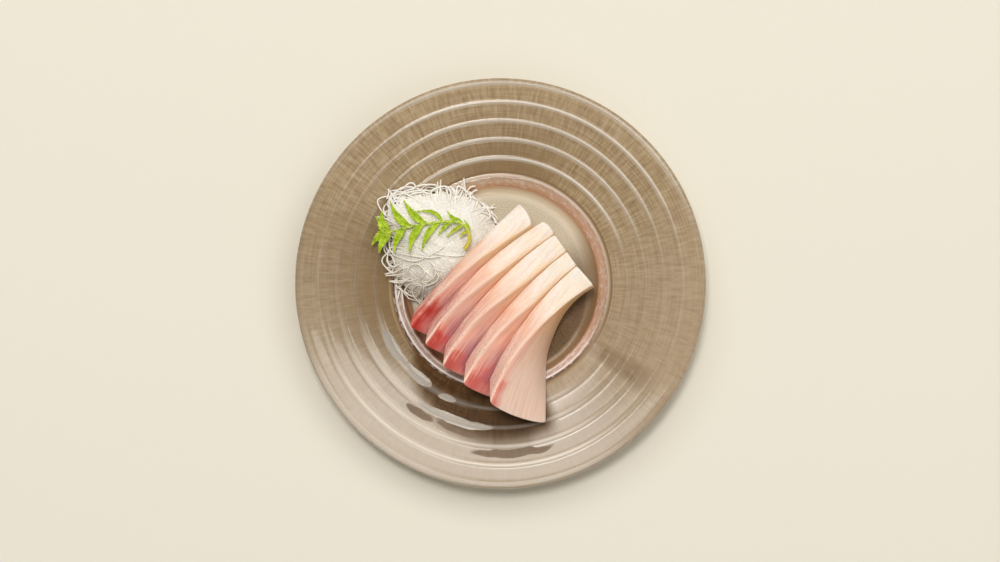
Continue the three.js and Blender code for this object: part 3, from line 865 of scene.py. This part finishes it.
# %% Fish material
skin = paint(strip, (cut_face, (front, 0.9, 0.99)), (strip, (height, 0.985, 0.997)))
ribs = add_node("Math", streaks, 0.8, fibres, operation="MULTIPLY_ADD")
fibre_bump = add_node("Bump", inputs={"Strength": 0.45, "Distance": 0.4 * MM, "Height": ribs})
finish_material(flesh, fish, {
    "Base Color": skin, "Roughness": add_node("Mix", clouds, 0.28, 0.44), "IOR": 1.4,
    "Subsurface Weight": 0.45, "Subsurface Radius": (1.0, 0.7, 0.55), "Subsurface Scale": 2.4 * MM,
    "Normal": fibre_bump})
for number, piece in enumerate(fish):
    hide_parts("fish_slice_" + str(number + 1))
    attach(piece, "root")
print("flesh on", len(fish), "slices,", len(tree.nodes), "nodes")

# %% [markdown]
# ## The heap of daikon
# White radish is cut into very long, glassy threads that are rinsed and heaped up. Hundreds of
# loose threads over nothing would leave holes, so a small core lies inside, and the threads cover
# it. Each thread wanders over the heap's skin at its own depth. At the open side some arch out as
# loops and some stick out. A thread that would run into the first slice, the sprig or the dish is
# pushed back, so it leans on them as a real one does.

# %% Named sizes of the heap, in millimetres
HEAP_CENTRE = Vector((-28.8, 18.8))
HEAP_RADIUS = 29.6
HEAP_CORNER_TURN = math.radians(137)
HEAP_CORNER = 6
HEAP_TOP = 28
HEAP_UNEVENNESS = 0.07
HEAP_SHOULDER = (2.4, 0.7)
CORE_SHARE = 0.95
CORE_SHARE_AT_CORNER = 0.84
CORE_SINK = 0.45
THREAD_RADIUS = 0.4
SKIN_THREADS = 190
EDGE_LOOPS = 18
LOOSE_ENDS = 12
OPEN_SIDE = (math.radians(22), math.radians(262))
SPRIG_PEAK = Vector((-22, 18))
SPRIG_TOP = 31.8
SPRIG_DROOP = 0.0076


def to_corner(turn, sharpness):
    """One at the heap's far corner, falling to nothing on both sides of it."""
    return max(math.cos(turn - HEAP_CORNER_TURN), 0) ** sharpness


def heap_outline(turn):
    waves = math.sin(3 * turn + 0.6) + 0.7 * math.sin(5 * turn + 2) + 0.5 * math.sin(8 * turn)
    return HEAP_RADIUS * (1 + HEAP_UNEVENNESS * 0.5 * waves) + HEAP_CORNER * to_corner(turn, 10)


def heap_skin(turn, share, lift=0.0):
    """A place on the heap's skin, by the share of the way from its centre to its outline."""
    radius = heap_outline(turn) * share
    x = HEAP_CENTRE.x + radius * math.cos(turn)
    y = HEAP_CENTRE.y + radius * math.sin(turn)
    spread, roundness = HEAP_SHOULDER
    fullness = max(1 - share ** spread, 0) ** roundness
    lumps = 2 * math.sin(5 * turn + 9 * share) * share * (1 - share)
    return Vector((x, y, mix(rest_height(x, y), HEAP_TOP, fullness) + lumps + lift))


def sprig_height(x, y):
    """The height of the middle of the sprig over a place."""
    return SPRIG_TOP - SPRIG_DROOP * (Vector((x, y)) - SPRIG_PEAK).length_squared


print("heap top", HEAP_TOP, "mm, threads", 2 * THREAD_RADIUS, "mm thick")

# %% Room between the pieces
SPRIG_ROOM = 1.5
SLICE_CLEARANCE = 0.25
LONGEST_FACE = 60.0
HALVINGS = 18


def back_of_first_slice(point):
    """Place across the stack of the first slice's back at a point's height, and the point's own."""
    forward = point.x * math.cos(STACK_TURN) + point.y * math.sin(STACK_TURN)
    across = point.x * math.sin(STACK_TURN) - point.y * math.cos(STACK_TURN)
    along = (forward - STACK_TOE) / STACK_LENGTH
    full_reach, _ = bent_reach(0, along, slice_width(along))
    foot = layer_offset(0, along) + full_reach
    rise_wanted = point.z - rest_height(*stack_place(forward, foot))
    low, high = 0.0, LONGEST_FACE
    for _ in range(HALVINGS):
        middle = (low + high) / 2
        if bent_reach(0, along, middle)[1] < rise_wanted:
            low = middle
        else:
            high = middle
    return foot - bent_reach(0, along, low)[0], across


def keep_clear(point, radius):
    """Push a point of a thread off the first slice, the sprig and the dish."""
    limit, across = back_of_first_slice(point)
    over = across - (limit - radius - SLICE_CLEARANCE)
    if over > 0:
        point.x -= over * math.sin(STACK_TURN)
        point.y += over * math.cos(STACK_TURN)
    point.z = min(point.z, sprig_height(point.x, point.y) - SPRIG_ROOM - radius)
    point.z = max(point.z, rest_height(point.x, point.y) + radius)
    return point


spot = keep_clear(Vector((0, 0, HEAP_TOP)), THREAD_RADIUS)
print("a thread over the middle moves to", [round(value, 1) for value in spot])

# %% The core of the heap
CORE_SEGMENTS = 64
CORE_RINGS = 24
CORE_CLEARANCE = 0.2
CORE_CROWDING = 1.2


def heap_core():
    """A ball drawn up to a little below the heap's skin and down to the dish."""
    select_only()
    bpy.ops.mesh.primitive_uv_sphere_add(segments=CORE_SEGMENTS, ring_count=CORE_RINGS, radius=1,
                                         location=(0, 0, 0))
    piece = bpy.context.object
    piece.name = "daikon_threads"
    for vertex in piece.data.vertices:
        flat = min(math.hypot(vertex.co.x, vertex.co.y), 1)
        turn = math.atan2(vertex.co.y, vertex.co.x)
        full = mix(CORE_SHARE, CORE_SHARE_AT_CORNER, to_corner(turn, 6))
        share = full * (1 - (1 - flat) ** CORE_CROWDING)
        skin = heap_skin(turn, share, -CORE_SINK)
        if vertex.co.z < -0.001:
            skin.z = rest_height(skin.x, skin.y)
        vertex.co = keep_clear(skin, CORE_CLEARANCE) * MM
    return piece


core = heap_core()
print("heap core:", len(core.data.polygons), "faces")

# %% [markdown]
# Every thread is a curve first: a list of places with a thickness at each. A thread on the skin
# starts anywhere, keeps its own slow bend and turns back when it nears the outline. All of them
# go into one curve object with a round bevel, which then becomes a mesh and joins the core.

# %% Threads over the skin
SKIN_STEP = 1.7
SKIN_STEPS = (12, 34)
SKIN_BEND = 0.07
SKIN_DEPTH = (-0.9, -0.48)
BEND_DRIFT = 0.02
TURN_BACK_SHARE = 0.93
TURN_BACK_ANGLE = 0.5

random.seed(11)


def polar(point):
    away = Vector((point.x, point.y)) - HEAP_CENTRE
    turn = math.atan2(away.y, away.x)
    return turn, away.length / heap_outline(turn)


def skin_thread():
    """A thread that wanders over the heap at its own depth under the skin."""
    turn, share = random.uniform(0, 2 * math.pi), math.sqrt(random.uniform(0, 0.85))
    place = heap_skin(turn, share)
    heading = random.uniform(0, 2 * math.pi)
    bend = random.uniform(-SKIN_BEND, SKIN_BEND)
    depth = random.uniform(*SKIN_DEPTH)
    points = []
    for step in range(random.randint(*SKIN_STEPS)):
        turn, share = polar(place)
        wave = 0.25 * math.sin(step * 0.5 + turn * 3)
        skin = heap_skin(turn, min(share, 1.05), depth + wave)
        points.append(keep_clear(skin, THREAD_RADIUS))
        homeward = math.atan2(HEAP_CENTRE.y - place.y, HEAP_CENTRE.x - place.x)
        off = math.remainder(homeward - heading, 2 * math.pi)
        turn_back = math.copysign(TURN_BACK_ANGLE, off) if share > TURN_BACK_SHARE else 0
        heading += bend + turn_back
        bend += random.uniform(-BEND_DRIFT, BEND_DRIFT)
        place = place + Vector((math.cos(heading), math.sin(heading), 0)) * SKIN_STEP
    return points


runs = [skin_thread() for _ in range(SKIN_THREADS)]
print(len(runs), "threads wander over the skin")

# %% Threads that are seen one by one
# Places in millimetres, each with its lift over what lies below.
DRAWN_THREADS = (
    ((-57.7, 47.4, 4), (-50.8, 48.4, 6), (-46.8, 51.4, 5), (-44.2, 51, 5), (-44, 49, 5),
     (-48.3, 47.4, 5), (-52, 44.4, 1)),
    ((-43.8, 49.6, 6), (-39.2, 50.6, 6), (-33.4, 50.6, 4), (-30.8, 48.8, 3), (-31.6, 45, 0.4)),
    ((-57.8, 43.6, 3), (-53.4, 45.4, 5), (-48.2, 46.4, 6), (-41, 47.8, 5), (-33.4, 47.4, 2)),
    ((-58.4, 43.2, 2), (-57.2, 46.6, 3), (-57.6, 48.6, 2)),
    ((-56.2, 47, 3), (-55.8, 42, 2), (-54.4, 38, 0.6)),
    ((-47.2, 44.6, 1), (-44.6, 46, 3), (-39.2, 46.8, 3), (-35.8, 45.6, 0.4)),
    ((-32.4, 44.4, 0.4), (-32.4, 48, 5), (-32.2, 52, 7)),
    ((-31, 45, 0.4), (-30.8, 49.6, 5), (-30.6, 53.2, 7)),
    ((-22, 40.4, 0.4), (-19.8, 47, 4), (-18.6, 50.6, 5), (-18.8, 54.2, 5)),
    ((-16.8, 41.6, 0.2), (-18, 47.4, 4), (-18.6, 53.6, 5)),
    ((-24.4, 42.6, 0.4), (-20.6, 48.4, 3), (-19, 52.2, 4)),
    ((-18.2, 45.4, 2), (-15, 46.6, 3), (-12.4, 48.4, 2)),
    ((-17.6, 47, 2), (-15.2, 49.6, 3), (-12.8, 50, 2)),
    ((-16.8, 43.2, 1), (-14.2, 47, 3), (-11.8, 48, 2)),
    ((-12.4, 39.4, 1), (-11.6, 42.4, 4), (-10, 43.6, 4)),
    ((-11.8, 38.6, 1), (-6.6, 37.4, 2), (-2.8, 35, 2), (-1.2, 32.6, 1)),
    ((-11.8, 36.8, 1), (-8, 36.2, 2), (-4, 34, 2), (-2.2, 30.8, 1)),
    ((-57, 26.2, 3), (-58.8, 23.6, 3), (-59.2, 20.4, 3), (-57.8, 16.6, 3), (-55.2, 13.2, 3),
     (-53.8, 9.4, 2)),
    ((-56.2, 24.8, 2), (-57, 21, 4), (-56.4, 17.2, 4), (-53.8, 14, 3)),
    ((-59.4, 4.8, 4), (-56.6, 5.4, 5), (-53.8, 6, 4), (-50, 8, 0.6)),
    ((-59, 4, 3.4), (-56.4, 4.2, 4.4), (-53.6, 4.4, 4), (-50, 5, 0.6)),
    ((-56.4, 1, 5), (-52.8, 0.4, 5), (-50, 0.6, 4), (-46.4, 3, 1)),
    ((-54, -0.8, 4), (-50.2, -4, 4), (-48.2, -6.6, 3)),
    ((-48.8, -3.4, 3), (-47.6, -7.2, 3), (-43.6, -8.8, 2), (-39.2, -8.8, 2), (-36, -6.8, 2)),
    ((-46.8, -6, 2), (-43.6, -1.4, 3), (-40.4, -1.2, 4), (-41.6, -5.2, 3), (-45, -6.4, 2)),
    ((-48.2, 5, 1), (-45.6, 9.4, 1), (-41.2, 9.4, 1.4), (-38.6, 5.6, 1.4), (-41.2, 1.8, 1.2)),
    ((-35.4, 10.8, 0.6), (-33.4, 8.2, 1), (-33.4, 3.8, 1.4), (-37.4, 0.6, 1.4)),
    ((-33.4, 7, 0.8), (-31.6, 3, 1), (-33.4, 0.6, 1.2), (-38.6, -1.4, 1.6)),
    ((-56.4, 16.4, 1), (-48.2, 14.6, 0.8), (-37.2, 13.2, 0.6), (-29.6, 14, 0.4)),
    ((-53.2, 14, 1), (-43.6, 11.4, 0.8), (-33.4, 15.8, 0.6), (-28.4, 19, 0.4)),
    ((-33.4, 15.2, 0.6), (-24.6, 14, 0.6), (-18.2, 14.4, 0.6)),
    ((-51.6, -3.4, 2), (-52.4, -6, 2), (-53.2, -9.8, 1.4), (-52, -14, 1)),
    ((-50.8, -3.8, 2), (-50.2, -8.4, 2), (-49.4, -14, 1)),
)


def rounded(points, count):
    """A smooth run of places through the given ones."""
    run = [points[0], *points, points[-1]]
    smooth_run = []
    for step in range(count):
        spot = step / (count - 1) * (len(points) - 1)
        first = min(int(spot), len(points) - 2)
        t = spot - first
        a, b, c, d = run[first:first + 4]
        smooth_run.append(0.5 * (2 * b + (c - a) * t + (2 * a - 5 * b + 4 * c - d) * t ** 2
                                 + (3 * b - a - 3 * c + d) * t ** 3))
    return smooth_run


def drawn_thread(row):
    """A thread through given places, each over the heap's skin or, outside it, over the dish."""
    points = []
    for x, y, lift in row:
        turn, share = polar(Vector((x, y)))
        floor = rest_height(x, y) if share > 1 else heap_skin(turn, share).z
        points.append(Vector((x, y, floor + lift)))
    return rounded(points, 5 * len(points) + 6)


runs += [drawn_thread(row) for row in DRAWN_THREADS]
print(len(DRAWN_THREADS), "threads drawn")

# %% Loops and loose ends at the open side
def over_dish(turn, share, height):
    skin = heap_skin(turn, share)
    return Vector((skin.x, skin.y, rest_height(skin.x, skin.y) + height))


def edge_loop(number):
    turn = mix(*OPEN_SIDE, (number + random.random()) / EDGE_LOOPS)
    half = random.uniform(0.08, 0.3)
    out = random.uniform(0.99, 1.13)
    height = random.uniform(0.6, 6)
    skew = random.uniform(-0.15, 0.15)
    return rounded([
        heap_skin(turn - half * 0.6, 0.66, -1.2),
        over_dish(turn - half, 0.95, height + 2.5),
        over_dish(turn + skew, out, height),
        over_dish(turn + half, 0.96, height + 1.5),
        heap_skin(turn + half * 0.7, 0.66, -1.2),
    ], 20)


def loose_end(number):
    turn = mix(*OPEN_SIDE, (number + random.random()) / LOOSE_ENDS)
    lean = random.uniform(-0.3, 0.3)
    return rounded([
        heap_skin(turn - lean, 0.5, -0.8),
        heap_skin(turn, 0.8, 0.2),
        over_dish(turn + lean * 0.6, 0.98, random.uniform(2.5, 7)),
        over_dish(turn + lean, random.uniform(1.04, 1.16), random.uniform(1, 6)),
    ], 16)


runs += [edge_loop(number) for number in range(EDGE_LOOPS)]
runs += [loose_end(number) for number in range(LOOSE_ENDS)]
print(len(runs), "threads in all")

# %% The threads made round and joined to the core
THIN_END = 0.55
THIN_SHARE = 0.12


def tubes(name, runs, radius, roundness, thickness):
    """Round tubes along runs of places, as a mesh. Thickness is a factor by share of the way."""
    data = bpy.data.curves.new(name, "CURVE")
    data.dimensions = "3D"
    data.bevel_depth = radius * MM
    data.bevel_resolution = roundness
    data.use_fill_caps = True
    for run in runs:
        line = data.splines.new("POLY")
        line.points.add(len(run) - 1)
        for number, (point, spot) in enumerate(zip(line.points, run)):
            point.co = (*(spot * MM), 1)
            point.radius = thickness(number / (len(run) - 1))
    new_object(name, data)
    bpy.ops.object.convert(target="MESH")
    return bpy.context.object


def join_to(piece, others):
    """Make other objects part of a piece."""
    for other in [piece, *others]:
        other.select_set(True)
    bpy.context.view_layer.objects.active = piece
    bpy.ops.object.join()
    return piece


def thinner_at_ends(share):
    return mix(THIN_END, 1, smooth(min(share, 1 - share), 0, THIN_SHARE))


runs = [[keep_clear(spot, THREAD_RADIUS) for spot in run] for run in runs]
heap = join_to(core, [tubes("threads", runs, THREAD_RADIUS, 1, thinner_at_ends)])
bpy.ops.object.shade_smooth()
print("daikon:", len(runs), "threads,", len(heap.data.polygons), "faces")

# %% [markdown]
# ## Daikon
# The threads are wet and clear like frosted glass: light goes into them and comes back nearly
# white, so a dense heap has no dark gaps. Slow noise makes some stretches clearer than others,
# painted shade makes the near side greyer, as it faces away from the soft box, and a fine grit
# breaks the shine.

# %% Daikon material
PATCH_MM = 5
GRIT_MM = 0.5

daikon, tree = new_material("wet shredded daikon")
place = add_node("TexCoord", out="Object")
patches = add_node("TexNoise", place, 1 / (PATCH_MM * MM), 3)
grit = add_node("TexNoise", place, 1 / (GRIT_MM * MM), 2)
away = add_node("SeparateXYZ", place, out="Y")
white = paint(
    add_node("ValToRGB", patches, stops={0.3: "#faf3e6", 0.5: "#fdf8ee", 0.7: "#fffcf6"}),
    # Painted shade on the near side: greyer from y 38 mm towards it, and below y 14 mm greyer
    # patches that stand for clearer threads and painted shade both.
    ("#dcd2be", (away, 38 * MM, 25 * MM, 0.35)),
    ("#d9ccb8", (away, 14 * MM, 4 * MM), (patches, 0.6, 0.4, 0.5, 0.1)))
bump = add_node("Bump", inputs={"Strength": 0.3, "Distance": 0.1 * MM, "Height": grit})
finish_material(daikon, [heap], {
    "Base Color": white, "Roughness": add_node("Mix", grit, 0.3, 0.5), "IOR": 1.36,
    "Subsurface Weight": 0.2, "Subsurface Radius": (1.0, 0.97, 0.9), "Subsurface Scale": 1.6 * MM,
    "Normal": bump})
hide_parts("daikon_heap")
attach(heap, "root")
print("daikon material:", len(tree.nodes), "nodes")

# %% [markdown]
# ## The sprig of young leaves
# A yellow-green stem arches over the heap with narrow leaflets on both sides and a lobed leaf at
# its end. The stem is a curve with a round bevel that thins towards the tip. Each leaflet is a
# flat grid drawn along a bend of its own: narrow at both ends, toothed along the sides, creased
# along the midrib and waved, then thickened. Two texture directions tell the material where the
# midrib and the rims are.

# %% Named sizes of the sprig, in millimetres
STEM_ROUTE = (
    (-18.3, 17.2), (-16, 21.2), (-16, 25), (-17.6, 28.6), (-21, 31), (-26, 31.5),
    (-34, 30.9), (-45.6, 29), (-53.7, 26.8), (-58.5, 26.1))
STEM_RADIUS = (1.05, 0.5)
LEAF_THICKNESS = 0.4
LEAF_WAVE = 0.35
LEAF_RIPPLE = 0.2
LEAF_SINK = 0.1
LEAF_CREASE = 0.6
LEAF_CUTS = (76, 12)
TOOTH_MM = 1.7
TOOTH_DEPTH = 0.36
# Each leaflet: where it starts on the sprig, its bend, its tip and its width.
LEAFLETS = (
    ((-45.6, 29), (-53.4, 32), (-56.2, 41.6), 4),
    ((-38, 30.6), (-45.2, 34), (-49.4, 42.4), 3.9),
    ((-29.4, 31.4), (-32.6, 38.8), (-43.8, 36.4), 2),
    ((-22, 31.4), (-24.8, 33), (-27, 36.8), 2.2),
    ((-19.4, 30.4), (-20.4, 32.2), (-24.2, 34.2), 1.5),
    ((-16.2, 26.4), (-15.8, 29.4), (-18.6, 32.4), 1.5),
    ((-48.6, 28.6), (-53.2, 25), (-54.4, 15.8), 3.9),
    ((-39.4, 30.2), (-45.8, 25.4), (-46.4, 15.2), 4),
    ((-31.2, 31), (-38, 26.4), (-40, 16.8), 3.4),
    ((-25.4, 31.2), (-29, 28.8), (-31.6, 24.6), 2),
    ((-19, 29.8), (-23.8, 27.4), (-27.4, 23.4), 1.9),
    ((-16.4, 26.8), (-18.8, 26.2), (-20.8, 23.4), 1.6),
    ((-56.4, 26.4), (-62.4, 29.4), (-60.4, 36.8), 5.2),
    ((-59, 28.4), (-61.8, 30.8), (-63.8, 34.4), 2.6),
    ((-56.6, 26.4), (-62.2, 26), (-65.8, 19.8), 4.6),
    ((-56.4, 26.4), (-60.8, 23), (-62, 15.6), 4.6),
)

print(len(LEAFLETS), "leaflets planned")

# %% One leaflet
def on_sprig(place):
    """A place on the sprig, which bows over the heap."""
    return Vector((*place, sprig_height(*place)))


def bezier(start, bend, tip, share):
    """A place on a quadratic curve and the direction it runs in."""
    place = start * (1 - share) ** 2 + bend * 2 * share * (1 - share) + tip * share ** 2
    ahead = (bend - start) * (1 - share) + (tip - bend) * share
    return place, ahead.normalized()


def leaf_half_width(share, length, width):
    """Broad over the stem, pointed at the tip, with teeth that point towards the tip."""
    body = mix(0.5, 1, smooth(share, 0, 0.35)) * mix(1, 0.14, smooth(share, 0.4, 1.05))
    tooth = (share * length / TOOTH_MM) % 1
    return width / 2 * body * (1 + TOOTH_DEPTH * (tooth ** 1.5 - 0.5) * smooth(share, 0.05, 0.2))


def leaflet(number, start, bend, tip, width):
    """A toothed, creased and waved leaf as a grid of its own."""
    select_only()
    bpy.ops.mesh.primitive_grid_add(x_subdivisions=LEAF_CUTS[0], y_subdivisions=LEAF_CUTS[1],
                                    size=1, location=(0, 0, 0))
    piece = bpy.context.object
    clear_maps(piece)
    keep_shares(piece, "leaf", lambda co: (co.x + 0.5, co.y + 0.5))
    start, bend, tip = (on_sprig(place) for place in (start, bend, tip))
    length = (bend - start).length + (tip - bend).length
    for vertex in piece.data.vertices:
        share, spread = vertex.co.x + 0.5, 2 * vertex.co.y
        place, ahead = bezier(start, bend, tip, share)
        aside = Vector((-ahead.y, ahead.x, 0)).normalized()
        half = leaf_half_width(share + (0.02 if spread > 0 else 0), length, width)
        wave = LEAF_WAVE * math.sin(share * 7 + width * 3)
        ripple = LEAF_RIPPLE * math.sin(share * length * 2.4 + number) * spread ** 2
        crease = LEAF_CREASE * abs(spread) ** 1.2 * min(half, 1)
        place += aside * spread * half
        place.z += wave + ripple + crease - LEAF_SINK
        vertex.co = place * MM
    apply_modifier(piece, "SOLIDIFY", thickness=LEAF_THICKNESS * MM, offset=0)
    return piece


leaves = [leaflet(number, *row) for number, row in enumerate(LEAFLETS)]
print("first leaflet:", len(leaves[0].data.polygons), "faces")

# %% The stem, joined with its leaflets
stem_run = rounded([on_sprig(place) for place in STEM_ROUTE], 60)
stem = tubes("leaf_sprig", [stem_run], 1, 3, lambda share: mix(*STEM_RADIUS, share))
sprig = join_to(stem, leaves)
bpy.ops.object.shade_smooth_by_angle(angle=math.radians(SHARP_ANGLE))
print("sprig:", len(leaves), "leaflets,", len(sprig.data.polygons), "faces")

# %% [markdown]
# ## Young leaf green
# The leaves are bright yellow-green and thin enough to glow. The midrib lies in a darker crease
# and the rims are lighter. Towards the cut end the stem turns yellow, so one more ramp runs along
# the sprig's length.

# %% Leaf material
BLOTCH_MM = 2.4
VEIN_MM = 0.7
STEM_BASE = Vector((-18.3, 17.2, 31.5))

leaf, tree = new_material("young green leaf")
place = add_node("TexCoord", out="Object")
spread = add_node("SeparateXYZ", add_node("UVMap", uv_map="leaf"), out="Y")
from_rib = add_node("Math", spread, 0.5, operation="SUBTRACT")
from_rib = add_node("Math", from_rib, operation="ABSOLUTE")
from_base = add_node("VectorMath", place, STEM_BASE * MM, operation="DISTANCE")
blotch = add_node("TexNoise", place, 1 / (BLOTCH_MM * MM), 3)
veins = add_node("TexNoise", place, 1 / (VEIN_MM * MM), 2)
green = paint(
    add_node("ValToRGB", blotch, stops={0.34: "#8eab19", 0.5: "#a8c325", 0.64: "#bfd142"}),
    ("#78990f", (from_rib, 0.1, 0.02), 0.5),
    ("#e2eb9a", (from_rib, 0.42, 0.49), (veins, 0.45, 0.6), 0.6),
    ("#d0b640", (from_base, 15 * MM, 4 * MM), 0.85))
bump = add_node("Bump", inputs={"Strength": 0.35, "Distance": 0.12 * MM, "Height": veins})
finish_material(leaf, [sprig], {
    "Base Color": green, "Roughness": add_node("Mix", blotch, 0.35, 0.55), "IOR": 1.4,
    "Subsurface Weight": 0.2, "Subsurface Radius": (0.5, 1.0, 0.2), "Subsurface Scale": 0.6 * MM,
    "Normal": bump})
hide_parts("leaf_sprig")
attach(sprig, "root")
print("leaf material:", len(tree.nodes), "nodes")
